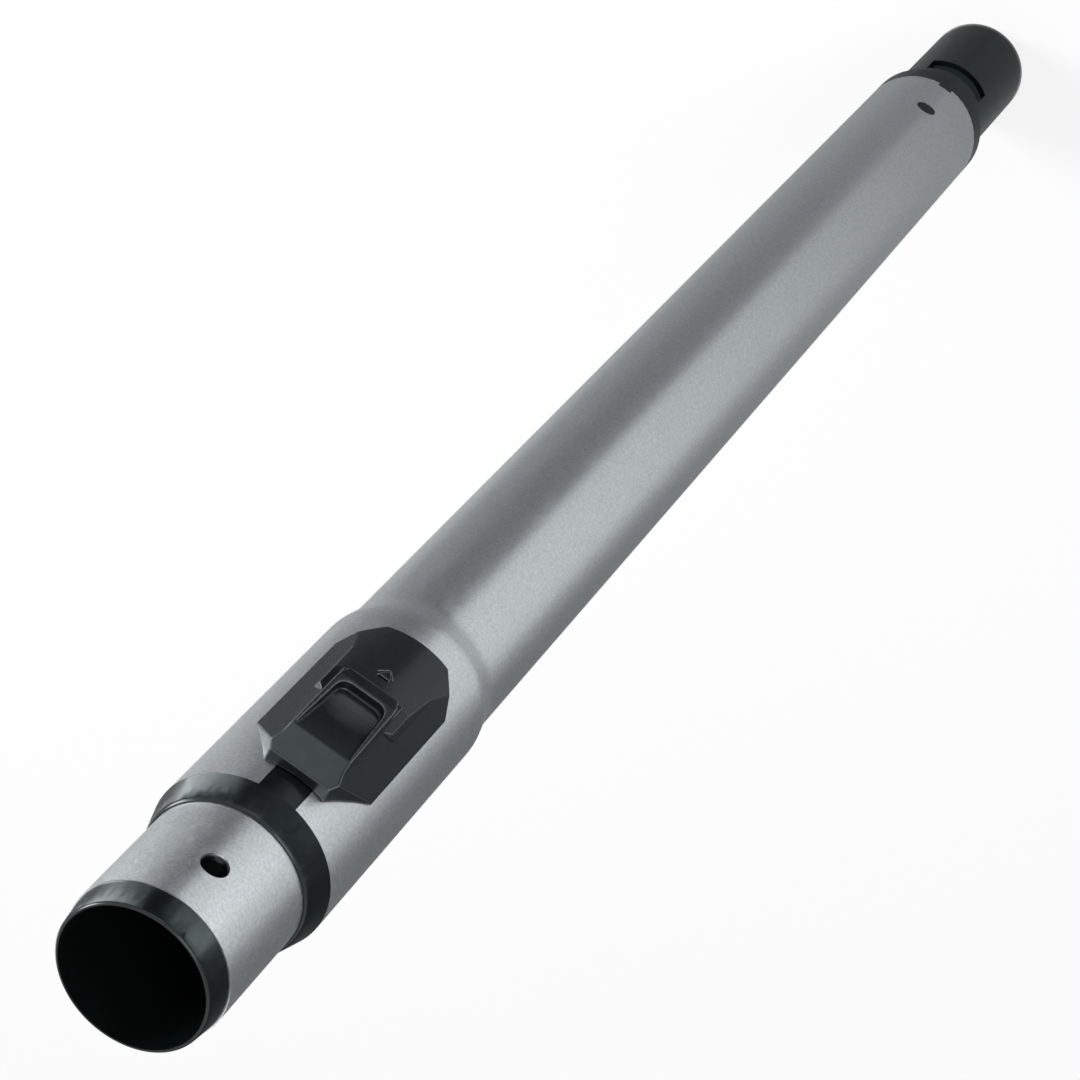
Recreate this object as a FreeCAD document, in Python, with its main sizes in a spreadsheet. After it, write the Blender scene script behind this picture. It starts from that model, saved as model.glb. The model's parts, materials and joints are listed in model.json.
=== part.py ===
import FreeCAD
import Part
import Sketcher
import os

# Telescopic vacuum wand, standing on the end of its nozzle spigot.
# +Z runs up the axis to the handle end, and the thumb slide faces -Y.
# All lengths are in millimetres.

SIZES = {
    # Nozzle connector
    "spigot_radius": 17.5,
    "spigot_length": 65.5,
    "spigot_bore_radius": 15.6,
    "spigot_lead_in": 0.8,
    "flange_length": 8.5,
    "flange_edge": 0.8,
    "insert_length": 34,
    "insert_wall": 1.9,
    "insert_fit": 0.05,
    "throat_length": 12,
    "window_width": 22,
    "window_length": 9,
    "window_drop": 11,
    "snap_lug_radius": 3.3,
    "snap_lug_rise": 23.5,
    "snap_lug_inset": 0.2,
    "snap_hole_gap": 0.15,
    "key_width": 4.7,
    "key_height": 2.1,
    "key_gap": 0.15,
    # Tubes
    "tube_wall": 0.6,
    "outer_tube_radius": 20.7,
    "mouth_radius": 22.4,
    "swage_length": 8.5,
    "swage_blend": 12,
    "swage_gap": 6.5,
    "slot_width": 9.9,
    "inner_tube_radius": 19.6,
    "stand_out": 40.8,
    "catch_hole_radius": 3.4,
    "catch_hole_drop": 14.5,
    # Row of detents and lock roller
    "detent_pitch": 30,
    "detent_steps": 12,
    "detent_depth": 1.5,
    "roller_radius": 2,
    "roller_length": 7.4,
    "roller_gap": 0.3,
    "roller_setback": 25,
    "roller_lift": 1.8,
    "roller_edge": 0.4,
    # End bush of the inner tube
    "bush_head": 6,
    "bush_plug": 14,
    "bush_wall": 1.2,
    "bush_gap": 0.15,
    "bush_rest_gap": 28.6,
    "bush_stop_gap": 0.4,
    # Socket liner for the handle
    "ring_length": 7.2,
    "ring_lip_radius": 18.5,
    "ring_lip_edge": 0.45,
    "ring_inset": 0.3,
    "socket_radius": 17.65,
    "socket_depth": 51,
    "socket_stop": 1,
    "socket_stop_length": 3,
    "liner_fit": 0.05,
    "liner_hole_radius": 3.1,
    # Guide sleeve
    "sleeve_fit": 0.05,
    "sleeve_bore_gap": 0.15,
    "sleeve_overrun": 2.7,
    "collar_length": 7.8,
    "collar_nose_radius": 20.5,
    "collar_nose_length": 0.6,
    "rail_drop": 0.05,
    "rail_side_gap": 0.15,
    "rail_root": 0.8,
    # Thumb slide
    "slide_gap": 8,
    "slide_length": 64.3,
    "slide_width": 31.6,
    "slide_top_width": 16,
    "slide_foot_width": 17.5,
    "slide_top_taper": 14,
    "slide_foot_taper": 10.8,
    "slide_lift_off": 0.3,
    "slide_travel": 6,
    "skirt_drop": 5.5,
    "crown_rise": 9,
    "ridge_width": 16.6,
    "ridge_crown_width": 15,
    "ridge_shoulder_rise": 4.6,
    "wall_rise": 2.6,
    "crest_rise": 6,
    "crest_setback": 8,
    "rim_rise": 7.3,
    "rim_setback": 30,
    "rim_width": 3,
    "rim_fall": 2,
    "rim_foot_rise": 6.2,
    "rim_end_width": 14.6,
    "rim_ledge_rise": 5.2,
    "rim_corner": 3.6,
    "deck_width": 22.1,
    "deck_crown_width": 17.8,
    "deck_shoulder_rise": 0.9,
    "deck_rise": 5.8,
    "deck_edge_rise": 0.8,
    "deck_setback": 24,
    "hip_width": 25.2,
    "hip_drop": 1.4,
    "hip_crown_width": 10.6,
    "hip_setback": 10,
    "pad_radius": 56,
    "pad_top_width": 15.4,
    "pad_end_width": 12.6,
    "pad_rise": 4.35,
    "pad_setback": 21.5,
    "pad_end_gap": 0.9,
    "pad_corner": 2.8,
    "arrow_width": 4.2,
    "arrow_length": 3.4,
    "arrow_setback": 6.4,
    "arrow_depth": 0.8,
    "bar_width": 2.8,
    "bar_length": 1,
    "bar_gap": 0.9,
    # Guide feet of the thumb slide, in the slot and under the tube wall
    "stem_width": 8.8,
    "foot_width": 12.8,
    "foot_length": 5,
    "foot_thickness": 0.9,
    "foot_gap": 0.3,
    "top_foot_setback": 4,
    "low_foot_setback": 7,
    # Return spring
    "spring_wire_radius": 0.25,
    "spring_radius": 1.45,
    "spring_turns": 7,
    "spring_wire_sides": 6,
    "spring_rise": 0.2,
    "spring_room": 0.25,
    "spring_drop": 7,
    "post_thickness": 2,
    "post_gap": 1,
}

# How close two lengths are to count as the same
NEAR = 1e-4
# How far a cutting shape reaches past the solid that it cuts
OVER = 1


class Size:
    """A length with its formula in the sheet and its present number."""

    def __init__(self, formula, number):
        self.formula = formula
        self.number = number

    def __add__(self, other):
        other = as_size(other)
        return Size(f"({self.formula} + {other.formula})", self.number + other.number)

    def __sub__(self, other):
        other = as_size(other)
        return Size(f"({self.formula} - {other.formula})", self.number - other.number)

    def __mul__(self, other):
        other = as_size(other)
        return Size(f"({self.formula} * {other.formula})", self.number * other.number)

    def __truediv__(self, other):
        other = as_size(other)
        return Size(f"({self.formula} / {other.formula})", self.number / other.number)

    def __neg__(self):
        return Size(f"(-1 * {self.formula})", -self.number)


def as_size(value):
    return value if isinstance(value, Size) else Size(f"{value}", float(value))


def make_sheet():
    sheet = doc.addObject("Spreadsheet::Sheet", "sizes")
    for row, (alias, number) in enumerate(SIZES.items(), start=1):
        sheet.set(f"A{row}", alias)
        sheet.set(f"B{row}", str(number))
        sheet.setAlias(f"B{row}", alias)
    doc.recompute()
    return {alias: Size(f"sizes.{alias}", float(sheet.get(alias))) for alias in SIZES}


def bind(item, field, value):
    item.setExpression(field, as_size(value).formula)


def new_body(name):
    body = doc.addObject("PartDesign::Body", name)
    body.Label = name
    return body


def sketch_on(body, role, name, offset=None):
    sketch = body.newObject("Sketcher::SketchObject", name)
    plane = next(item for item in body.Origin.OriginFeatures if item.Role == role)
    sketch.AttachmentSupport = [(plane, "")]
    sketch.MapMode = "FlatFace"
    if offset is not None:
        bind(sketch, "AttachmentOffset.Base.z", offset)
    return sketch


def outline(sketch, corners):
    """Draws a closed outline and ties both coordinates of every corner to the sheet."""
    corners = [(as_size(across), as_size(along)) for across, along in corners]
    points = [FreeCAD.Vector(across.number, along.number, 0) for across, along in corners]
    first = sketch.GeometryCount
    for start, end in zip(points, points[1:] + points[:1]):
        sketch.addGeometry(Part.LineSegment(start, end), False)
    for index in range(len(points)):
        following = (index + 1) % len(points)
        joint = Sketcher.Constraint("Coincident", first + index, 2, first + following, 1)
        sketch.addConstraint(joint)
    for index, corner in enumerate(corners):
        for kind, value in zip(("DistanceX", "DistanceY"), corner):
            rule = Sketcher.Constraint(kind, -1, 1, first + index, 1, value.number)
            place = sketch.addConstraint(rule)
            bind(sketch, f"Constraints[{place}]", value)


def turned(name, corners):
    """A body of revolution about Z, from an outline of (radius, height) corners."""
    body = new_body(name)
    sketch = sketch_on(body, "XZ_Plane", f"{name}_section")
    outline(sketch, corners)
    turn = body.newObject("PartDesign::Revolution", f"{name}_turn")
    turn.Profile = sketch
    turn.ReferenceAxis = (sketch, ["V_Axis"])
    turn.Angle = 360
    doc.recompute()
    return body


def pad(body, name, outlines, role, length, offset=None):
    """Raises outlines from a plane, or from a plane set off from it."""
    sketch = sketch_on(body, role, f"{name}_sketch", offset)
    for corners in outlines:
        outline(sketch, corners)
    feature = body.newObject("PartDesign::Pad", name)
    feature.Profile = sketch
    bind(feature, "Length", length)
    doc.recompute()


def pocket(body, name, outlines, role):
    """Cuts outlines right through a body, both ways from their plane."""
    before = body.Shape.Volume
    sketch = sketch_on(body, role, f"{name}_sketch")
    for corners in outlines:
        outline(sketch, corners)
    feature = body.newObject("PartDesign::Pocket", name)
    feature.Profile = sketch
    feature.Type = "ThroughAll"
    feature.Midplane = True
    doc.recompute()
    if body.Shape.Volume > before - NEAR:
        raise RuntimeError(f"{name} cuts nothing")


def groove(body, name, corners):
    """Turns away what lies inside an outline of (radius, height) corners about Z."""
    before = body.Shape.Volume
    sketch = sketch_on(body, "XZ_Plane", f"{name}_sketch")
    outline(sketch, corners)
    feature = body.newObject("PartDesign::Groove", name)
    feature.Profile = sketch
    feature.ReferenceAxis = (sketch, ["V_Axis"])
    feature.Angle = 360
    doc.recompute()
    if body.Shape.Volume > before - NEAR:
        raise RuntimeError(f"{name} cuts nothing")


def box(name, low, high):
    block = doc.addObject("Part::Box", name)
    for field, start, end in zip(("Length", "Width", "Height"), low, high):
        bind(block, field, as_size(end) - as_size(start))
    for axis, start in zip("xyz", low):
        bind(block, f"Placement.Base.{axis}", start)
    return block


def rod(name, radius, start, direction, length):
    """A cylinder from a start point along a direction."""
    bar = doc.addObject("Part::Cylinder", name)
    bar.Placement.Rotation = FreeCAD.Rotation(FreeCAD.Vector(0, 0, 1), FreeCAD.Vector(*direction))
    bind(bar, "Radius", radius)
    bind(bar, "Height", length)
    for axis, place in zip("xyz", start):
        bind(bar, f"Placement.Base.{axis}", place)
    return bar


def fuse(name, *pieces):
    result = doc.addObject("Part::MultiFuse", name)
    result.Shapes = list(pieces)
    result.Refine = True
    return result


def common(name, *pieces):
    result = doc.addObject("Part::MultiCommon", name)
    result.Shapes = list(pieces)
    return result


def cut(name, base, *tools):
    result = doc.addObject("Part::Cut", name)
    result.Base = base
    result.Tool = tools[0] if len(tools) == 1 else fuse(f"{name}_tools", *tools)
    result.Refine = True
    return result


def ring_edges(shape, radius, height):
    """Names of the round edges of one radius at one height."""
    names = []
    for number, edge in enumerate(shape.Edges, start=1):
        if not isinstance(edge.Curve, Part.Circle):
            continue
        level = abs(edge.Curve.Center.z - height.number) < NEAR
        if level and abs(edge.Curve.Radius - radius.number) < NEAR:
            names.append(f"Edge{number}")
    return names


def round_rings(body, name, rings, radius):
    base = body.Tip
    edges = [edge for ring in rings for edge in ring_edges(base.Shape, *ring)]
    feature = body.newObject("PartDesign::Fillet", name)
    feature.Base = (base, edges)
    bind(feature, "Radius", radius)
    doc.recompute()


def nozzle_connector():
    inside = outer_bore - d["insert_fit"]
    flange_foot = d["spigot_length"]
    turned_piece = turned("connector_turning", [
        (d["spigot_bore_radius"], 0),
        (d["spigot_radius"] - d["spigot_lead_in"], 0),
        (d["spigot_radius"], d["spigot_lead_in"]),
        (d["spigot_radius"], flange_foot),
        (d["outer_tube_radius"] - d["flange_edge"], flange_foot),
        (d["outer_tube_radius"], flange_foot + d["flange_edge"]),
        (d["outer_tube_radius"], tube_foot),
        (inside, tube_foot),
        (inside, insert_top),
        (inside - d["insert_wall"], insert_top),
        (inside - d["insert_wall"], tube_foot + d["flange_edge"]),
        (d["spigot_bore_radius"], tube_foot + d["flange_edge"] - d["throat_length"]),
    ])
    half = d["key_width"] / 2
    key_ring = rod("key_ring", d["outer_tube_radius"], (0, 0, tube_foot), UP, d["key_height"])
    key_block = box("key_block", (-half, -d["outer_tube_radius"], tube_foot),
                    (half, d["insert_wall"] - inside, tube_foot + d["key_height"]))
    key = common("connector_key", key_ring, key_block)
    lug_start = d["insert_wall"] / 2 - inside
    lug_length = d["outer_tube_radius"] - d["snap_lug_inset"] + lug_start
    lug = rod("snap_lug", d["snap_lug_radius"], (0, lug_start, snap_height), FRONT, lug_length)
    window_top = flange_foot - d["window_drop"]
    window_half = d["window_width"] / 2
    window = box("catch_window", (-window_half, -d["spigot_radius"] - OVER, window_top - d["window_length"]),
                 (window_half, 0, window_top))
    cut("nozzle_connector", fuse("connector_blank", turned_piece, key, lug), window)


def outer_tube():
    narrow = d["outer_tube_radius"]
    wide = d["mouth_radius"]
    wall = d["tube_wall"]
    swage_foot = swage_top - d["swage_length"]
    tube = turned("swaged_tube", [
        (narrow - wall, tube_foot),
        (narrow, tube_foot),
        (narrow, swage_foot),
        (wide, swage_top),
        (wide, mouth),
        (wide - wall, mouth),
        (wide - wall, swage_top),
        (narrow - wall, swage_foot),
    ])
    rings = [(narrow, swage_foot), (wide, swage_top), (narrow - wall, swage_foot), (wide - wall, swage_top)]
    round_rings(tube, "swage_rounding", rings, d["swage_blend"])
    half = d["slot_width"] / 2
    slot = box("tube_slot", (-half, -wide - OVER, slot_foot), (half, -d["inner_tube_radius"], mouth + OVER))
    snap_hole = rod("snap_hole", d["snap_lug_radius"] + d["snap_hole_gap"], (0, 0, snap_height), FRONT, wide)
    key_half = d["key_width"] / 2 + d["key_gap"]
    key_notch = box("key_notch", (-key_half, -wide, tube_foot - OVER),
                    (key_half, 0, tube_foot + d["key_height"] + d["key_gap"]))
    cut("outer_tube", tube, slot, snap_hole, key_notch)


def inner_tube():
    radius = d["inner_tube_radius"]
    wall = d["tube_wall"]
    tube = turned("drawn_tube", [
        (radius - wall, inner_foot),
        (radius, inner_foot),
        (radius, inner_top),
        (radius - wall, inner_top),
    ])
    trough_radius = d["roller_radius"] + d["roller_gap"]
    trough_half = d["roller_length"] / 2 + d["roller_gap"]
    bumps = []
    troughs = []
    for step in range(int(SIZES["detent_steps"]) + 1):
        height = roller_height - d["detent_pitch"] * step
        start = (-trough_half - wall, -roller_rest, height)
        bumps.append(rod(f"bump_{step}", trough_radius + wall, start, ASIDE, (trough_half + wall) * 2))
        start = (-trough_half, -roller_rest, height)
        troughs.append(rod(f"trough_{step}", trough_radius, start, ASIDE, trough_half * 2))
    core = rod("detent_core", radius, (0, 0, inner_foot), UP, inner_top - inner_foot)
    pressed = common("pressed_bumps", fuse("bump_row", *bumps), core)
    hole = rod("catch_hole", d["catch_hole_radius"], (0, 0, catch_height), FRONT, radius + OVER)
    cut("inner_tube", fuse("bumped_tube", tube, pressed), *troughs, hole)


def end_bush():
    plug = inner_bore - d["liner_fit"]
    head = outer_bore - d["bush_gap"]
    bush = turned("end_bush", [
        (plug - d["bush_wall"], bush_foot),
        (head - d["bush_wall"] / 2, bush_foot),
        (head, bush_foot + d["bush_wall"] / 2),
        (head, inner_foot),
        (plug, inner_foot),
        (plug, inner_foot + d["bush_plug"]),
        (plug - d["bush_wall"], inner_foot + d["bush_plug"]),
    ])
    return bush


def socket_liner():
    liner = inner_bore - d["liner_fit"]
    bore = d["socket_radius"]
    stop_top = ring_top - d["socket_depth"]
    stop_foot = stop_top - d["socket_stop_length"]
    turning = turned("liner_turning", [
        (bore - d["socket_stop"], stop_foot),
        (liner, stop_foot),
        (liner, inner_top),
        (d["inner_tube_radius"] - d["ring_inset"], inner_top),
        (d["ring_lip_radius"], ring_top - d["ring_lip_edge"]),
        (d["ring_lip_radius"] - d["ring_lip_edge"], ring_top),
        (bore, ring_top),
        (bore, stop_top),
        (bore - d["socket_stop"], stop_top),
    ])
    hole = rod("liner_hole", d["liner_hole_radius"], (0, 0, catch_height), FRONT, d["inner_tube_radius"])
    cut("socket_liner", turning, hole)


def guide_sleeve():
    bore = d["inner_tube_radius"] + d["sleeve_bore_gap"]
    outside = wide_bore - d["sleeve_fit"]
    nose = mouth + d["collar_length"]
    turning = turned("sleeve_turning", [
        (bore, sleeve_foot),
        (outside, sleeve_foot),
        (outside, mouth),
        (d["mouth_radius"], mouth),
        (d["collar_nose_radius"], nose - d["collar_nose_length"]),
        (d["collar_nose_radius"] - d["collar_nose_length"], nose),
        (bore, nose),
    ])
    rail_half = d["slot_width"] / 2 - d["rail_side_gap"]
    rail_radius = d["mouth_radius"] - d["rail_drop"]
    rail_foot = slot_foot + d["rail_side_gap"]
    rail_round = rod("rail_round", rail_radius, (0, 0, rail_foot), UP, mouth - rail_foot)
    rail_block = box("rail_block", (-rail_half, -d["mouth_radius"], rail_foot),
                     (rail_half, d["rail_root"] - outside, mouth))
    blank = fuse("sleeve_blank", turning, common("slot_rail", rail_round, rail_block))
    outer_face = -d["mouth_radius"] - OVER
    window_half = d["roller_length"] / 2 + d["roller_gap"] / 2
    window_reach = d["roller_radius"] + d["roller_gap"]
    window = box("roller_window", (-window_half, outer_face, roller_height - window_reach),
                 (window_half, -bore + OVER, roller_height + window_reach))
    groove = box("spring_groove", (-spring_space, outer_face, spring_foot),
                 (spring_space, spring_space - spring_axis, spring_top + d["foot_gap"]))
    rooms = []
    for name, low in (("top", top_foot_low), ("low", low_foot_low)):
        half = d["foot_width"] / 2 + d["foot_gap"]
        start = low - d["slide_travel"] - d["foot_gap"]
        end = low + d["foot_length"] + d["foot_gap"]
        block = box(f"{name}_room_block", (-half, outer_face, start), (half, -bore / 2, end))
        floor = rod(f"{name}_room_floor", foot_inside - d["foot_gap"], (0, 0, start - OVER), UP,
                    end - start + OVER * 2)
        rooms.append(cut(f"{name}_foot_room", block, floor))
    post_half = spring_space - d["spring_room"] / 2
    post_foot = spring_foot - d["post_thickness"]
    post = box("spring_post", (-post_half, -spring_axis - d["spring_radius"], post_foot),
               (post_half, d["rail_root"] - outside, spring_foot))
    fuse("guide_sleeve", cut("sleeve_cut", blank, window, groove, *rooms), post)


def mirrored(right):
    """A closed outline from its right half, listed from the foot up."""
    return right + [(-across, along) for across, along in reversed(right)]


def slide_section(width, rise, crown):
    """Section across the slide: skirt, bevel up to a shoulder, and side wall up to the crown."""
    edge = d["slide_width"] / 2
    return mirrored([
        (edge, -d["mouth_radius"] / 2),
        (edge, d["skirt_drop"] - d["mouth_radius"]),
        (width / 2, -d["mouth_radius"] - rise),
        (crown / 2, -d["mouth_radius"] - d["crown_rise"]),
    ])


def slide_corner(side, end, inward, width, taper):
    """Waste outside one slanting corner of the eight-sided outline."""
    edge = d["slide_width"] / 2
    beyond = end - inward
    return [
        (edge * side, end + taper * inward),
        (width / 2 * side, end),
        (width / 2 * side, beyond),
        ((edge + OVER) * side, beyond),
        ((edge + OVER) * side, end + taper * inward),
    ]


def shoulder_waste(side, low, high, width):
    """Waste outside a side wall that slants from one width at its low end to the ridge at its high end."""
    ridge = d["ridge_width"] / 2 * side
    outside = (d["slide_width"] / 2 + OVER) * side
    return [
        (ridge, high),
        (width / 2 * side, low),
        (outside, low),
        (outside, high + OVER),
        (ridge, high + OVER),
    ]


def corner_waste(name, width, end, radius, floor, reach):
    """Waste outside the two rounded corners of a plan, at the end that faces the slide's foot."""
    pieces = []
    for hand, side in (("left", -1), ("right", 1)):
        centre = (width / 2 - radius) * side
        past = (width / 2 + OVER) * side
        low, high = (past, centre) if side < 0 else (centre, past)
        block = box(f"{hand}_{name}_block", (low, -reach, end - OVER), (high, -floor, end + radius))
        round_corner = rod(f"{hand}_{name}_round", radius, (centre, 0, end + radius), FRONT, reach + OVER)
        pieces.append(cut(f"{hand}_{name}", block, round_corner))
    return pieces


def slide_form():
    """The moulded outside of the thumb slide: a sloping deck, the thumb ridge and its hips."""
    radius = d["mouth_radius"]
    rim_top = slide_top - d["rim_setback"]
    rim_foot = rim_top - d["rim_width"]
    deck_end = slide_top - d["deck_setback"]
    hip_end = slide_top - d["hip_setback"]
    above = radius + d["crown_rise"] + OVER
    sides = (-1, 1)
    form = new_body("slide_form")

    section = slide_section(d["deck_width"], d["deck_shoulder_rise"], d["deck_crown_width"])
    pad(form, "deck_part", [section], "XY_Plane", deck_end - slide_foot, slide_foot)
    waste = [shoulder_waste(side, deck_top, deck_end, d["slide_width"]) for side in sides]
    pocket(form, "deck_shoulders", waste, "XZ_Plane")
    clear = above + d["deck_crown_width"] / 2
    groove(form, "deck_crown", [
        (radius + d["deck_edge_rise"], slide_foot - OVER),
        (radius + d["deck_edge_rise"], slide_foot),
        (radius + d["deck_rise"], deck_top),
        (radius + d["deck_rise"], deck_end + OVER),
        (clear, deck_end + OVER),
        (clear, slide_foot - OVER),
    ])

    section = mirrored([
        (d["hip_width"] / 2, -radius / 2),
        (d["hip_width"] / 2, d["hip_drop"] - radius),
        (d["hip_crown_width"] / 2, -radius - d["crown_rise"]),
    ])
    pad(form, "hip_part", [section], "XY_Plane", hip_end - deck_top, deck_top)
    waste = [shoulder_waste(side, deck_end, hip_end, d["hip_width"]) for side in sides]
    pocket(form, "hip_shoulders", waste, "XZ_Plane")

    section = slide_section(d["ridge_width"], d["ridge_shoulder_rise"], d["ridge_crown_width"])
    pad(form, "ridge_part", [section], "XY_Plane", slide_top - deck_top, deck_top)
    pocket(form, "roof", [[
        (-radius - d["wall_rise"], slide_top + OVER),
        (-radius - d["wall_rise"], slide_top),
        (-radius - d["crest_rise"], slide_top - d["crest_setback"]),
        (-radius - d["rim_rise"], rim_top),
        (-radius - d["rim_rise"], rim_foot),
        (-radius - d["rim_foot_rise"], deck_top),
        (-above, deck_top),
        (-above, slide_top + OVER),
    ]], "YZ_Plane")

    corners = []
    for side in sides:
        corners.append(slide_corner(side, slide_top, -1, d["slide_top_width"], d["slide_top_taper"]))
        corners.append(slide_corner(side, slide_foot, 1, d["slide_foot_width"], d["slide_foot_taper"]))
    pocket(form, "slanting_corners", corners, "XZ_Plane")
    return form


def thumb_slide():
    radius = d["mouth_radius"]
    form = slide_form()
    pad_axis = radius + d["pad_rise"] + d["pad_radius"]
    pad_end = slide_top - d["rim_setback"] + d["pad_end_gap"]
    top_half = d["pad_top_width"] / 2
    end_half = d["pad_end_width"] / 2
    dish = rod("dish_round", d["pad_radius"], (-top_half, -pad_axis, slide_top - d["pad_setback"]), ASIDE,
               d["pad_top_width"])
    dish_block = new_body("dish_block")
    plan = mirrored([(end_half, pad_end), (top_half, slide_top)])
    pad(dish_block, "dish_pad", [plan], "XZ_Plane", pad_axis)
    top = radius + d["crown_rise"]
    dish_corners = corner_waste("dish_corner", d["pad_end_width"], pad_end, d["pad_corner"], radius, top)
    thumb_dish = cut("thumb_dish", common("dish_blank", dish, dish_block), *dish_corners)

    rim_waste = new_body("rim_waste")
    deck_end = slide_top - d["deck_setback"]
    plans = [shoulder_waste(side, deck_top, deck_end, d["rim_end_width"]) for side in (-1, 1)]
    ledge = radius + d["rim_ledge_rise"]
    pad(rim_waste, "rim_trim", plans, "XZ_Plane", d["crown_rise"], ledge)
    rim_corners = corner_waste("rim_corner", d["rim_end_width"], deck_top, d["rim_corner"], ledge, top)

    arrow = new_body("arrow_mark")
    arrow_top = deck_top - d["arrow_setback"]
    slope = (d["deck_rise"] - d["deck_edge_rise"]) / (deck_top - slide_foot)
    arrow_floor = radius + d["deck_rise"] - slope * d["arrow_setback"] - d["arrow_depth"]
    head = [
        (-d["arrow_width"] / 2, arrow_top),
        (d["arrow_width"] / 2, arrow_top),
        (0, arrow_top - d["arrow_length"]),
    ]
    bar_foot = arrow_top + d["bar_gap"]
    bar = mirrored([(d["bar_width"] / 2, bar_foot), (d["bar_width"] / 2, bar_foot + d["bar_length"])])
    pad(arrow, "arrow_pad", [head, bar], "XZ_Plane", d["crown_rise"], arrow_floor)

    underside = radius + d["slide_lift_off"]
    seat = rod("tube_seat", underside, (0, 0, slide_foot - OVER), UP, d["slide_length"] + OVER * 2)
    lock_half = d["roller_length"] / 2 + d["roller_gap"]
    reach = d["roller_radius"] + d["roller_gap"] * 2
    lock_top = roller_height + d["slide_travel"]
    ramp = new_body("lock_ramp")
    profile = [
        (-radius / 2, roller_height - reach),
        (-underside, roller_height - reach),
        (-underside, roller_height),
        (-underside - d["roller_lift"], lock_top),
        (-underside - d["roller_lift"], lock_top + reach),
        (-radius / 2, lock_top + reach),
    ]
    pad(ramp, "ramp_pad", [profile], "YZ_Plane", lock_half * 2, -lock_half)
    channel_foot = spring_foot - d["post_thickness"] - d["foot_gap"]
    channel = box("spring_channel", (-spring_space, -spring_axis - spring_space, channel_foot),
                  (spring_space, 0, spring_top))
    shell = cut("slide_shell", form, thumb_dish, rim_waste, *rim_corners, arrow, seat, ramp, channel)

    feet = []
    for name, low in (("top", top_foot_low), ("low", low_foot_low)):
        stem_half = d["stem_width"] / 2
        foot_half = d["foot_width"] / 2
        high = low + d["foot_length"]
        stem = box(f"{name}_stem_block", (-stem_half, -underside - d["foot_thickness"], low),
                   (stem_half, 0, high))
        wing_round = rod(f"{name}_wing_round", foot_outside, (0, 0, low), UP, d["foot_length"])
        wing_block = box(f"{name}_wing_block", (-foot_half, -radius, low), (foot_half, 0, high))
        hollow = rod(f"{name}_foot_hollow", foot_inside, (0, 0, low - OVER), UP,
                     d["foot_length"] + OVER * 2)
        wings = common(f"{name}_wings", wing_round, wing_block)
        feet.append(cut(f"{name}_foot", fuse(f"{name}_foot_blank", stem, wings), hollow))
    fuse("thumb_slide", shell, *feet)


def lock_roller():
    """A short pin with chamfered ends, lying across the tube in its detent."""
    half = d["roller_length"] / 2
    edge = d["roller_edge"]
    radius = d["roller_radius"]
    roller = turned("lock_roller", [
        (0, -half),
        (radius - edge, -half),
        (radius, edge - half),
        (radius, half - edge),
        (radius - edge, half),
        (0, half),
    ])
    roller.Placement.Rotation = FreeCAD.Rotation(FreeCAD.Vector(*UP), FreeCAD.Vector(*ASIDE))
    bind(roller, "Placement.Base.y", -roller_rest)
    bind(roller, "Placement.Base.z", roller_height)


def return_spring():
    wire = d["spring_wire_radius"]
    coil = doc.addObject("Part::Helix", "spring_path")
    length = spring_top - spring_foot - wire * 2
    bind(coil, "Radius", d["spring_radius"])
    bind(coil, "Height", length)
    bind(coil, "Pitch", length / d["spring_turns"])
    bind(coil, "Placement.Base.y", -spring_axis)
    bind(coil, "Placement.Base.z", spring_foot + wire)
    section = doc.addObject("Part::RegularPolygon", "spring_section")
    section.Placement.Rotation = FreeCAD.Rotation(FreeCAD.Vector(1, 0, 0), 90)
    bind(section, "Polygon", d["spring_wire_sides"])
    bind(section, "Circumradius", wire)
    bind(section, "Placement.Base.x", d["spring_radius"])
    bind(section, "Placement.Base.y", -spring_axis)
    bind(section, "Placement.Base.z", spring_foot + wire)
    spring = doc.addObject("Part::Sweep", "return_spring")
    spring.Sections = [section]
    spring.Spine = (coil, [])
    spring.Solid = True
    spring.Frenet = True


def write_parts(names):
    doc.recompute()
    for item in doc.Objects:
        if "Invalid" in item.State or "Error" in item.State:
            raise RuntimeError(f"{item.Name} failed: {item.State}")
    for name in names:
        shape = doc.getObject(name).Shape
        if shape.isNull() or not shape.isValid() or len(shape.Solids) != 1:
            raise RuntimeError(f"{name} is not one sound solid")
    os.makedirs("parts", exist_ok=True)
    for name in names:
        doc.getObject(name).Shape.exportStep(f"parts/{name}.step")


UP = (0, 0, 1)
FRONT = (0, -1, 0)
ASIDE = (1, 0, 0)

doc = FreeCAD.newDocument("vacuum_wand")
d = make_sheet()

# Heights along the axis, from the foot up
tube_foot = d["spigot_length"] + d["flange_length"]
insert_top = tube_foot + d["insert_length"]
snap_height = tube_foot + d["snap_lug_rise"]
bush_foot = insert_top + d["bush_rest_gap"]
inner_foot = bush_foot + d["bush_head"]
sleeve_foot = inner_foot + d["detent_pitch"] * d["detent_steps"] + d["bush_stop_gap"]
swage_top = sleeve_foot - d["swage_gap"]
slide_foot = sleeve_foot + d["sleeve_overrun"]
slide_top = slide_foot + d["slide_length"]
mouth = slide_top + d["slide_gap"]
inner_top = mouth + d["stand_out"]
ring_top = inner_top + d["ring_length"]
catch_height = inner_top - d["catch_hole_drop"]
deck_top = slide_top - d["rim_setback"] - d["rim_width"] - d["rim_fall"]
roller_height = slide_top - d["roller_setback"]
top_foot_low = slide_top - d["top_foot_setback"] - d["foot_length"]
low_foot_low = slide_foot + d["low_foot_setback"]
slot_foot = low_foot_low - d["slide_travel"] - d["foot_gap"] * 2
spring_top = roller_height - d["spring_drop"]
spring_foot = low_foot_low + d["foot_length"] + d["foot_gap"] + d["post_gap"] + d["post_thickness"]

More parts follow.
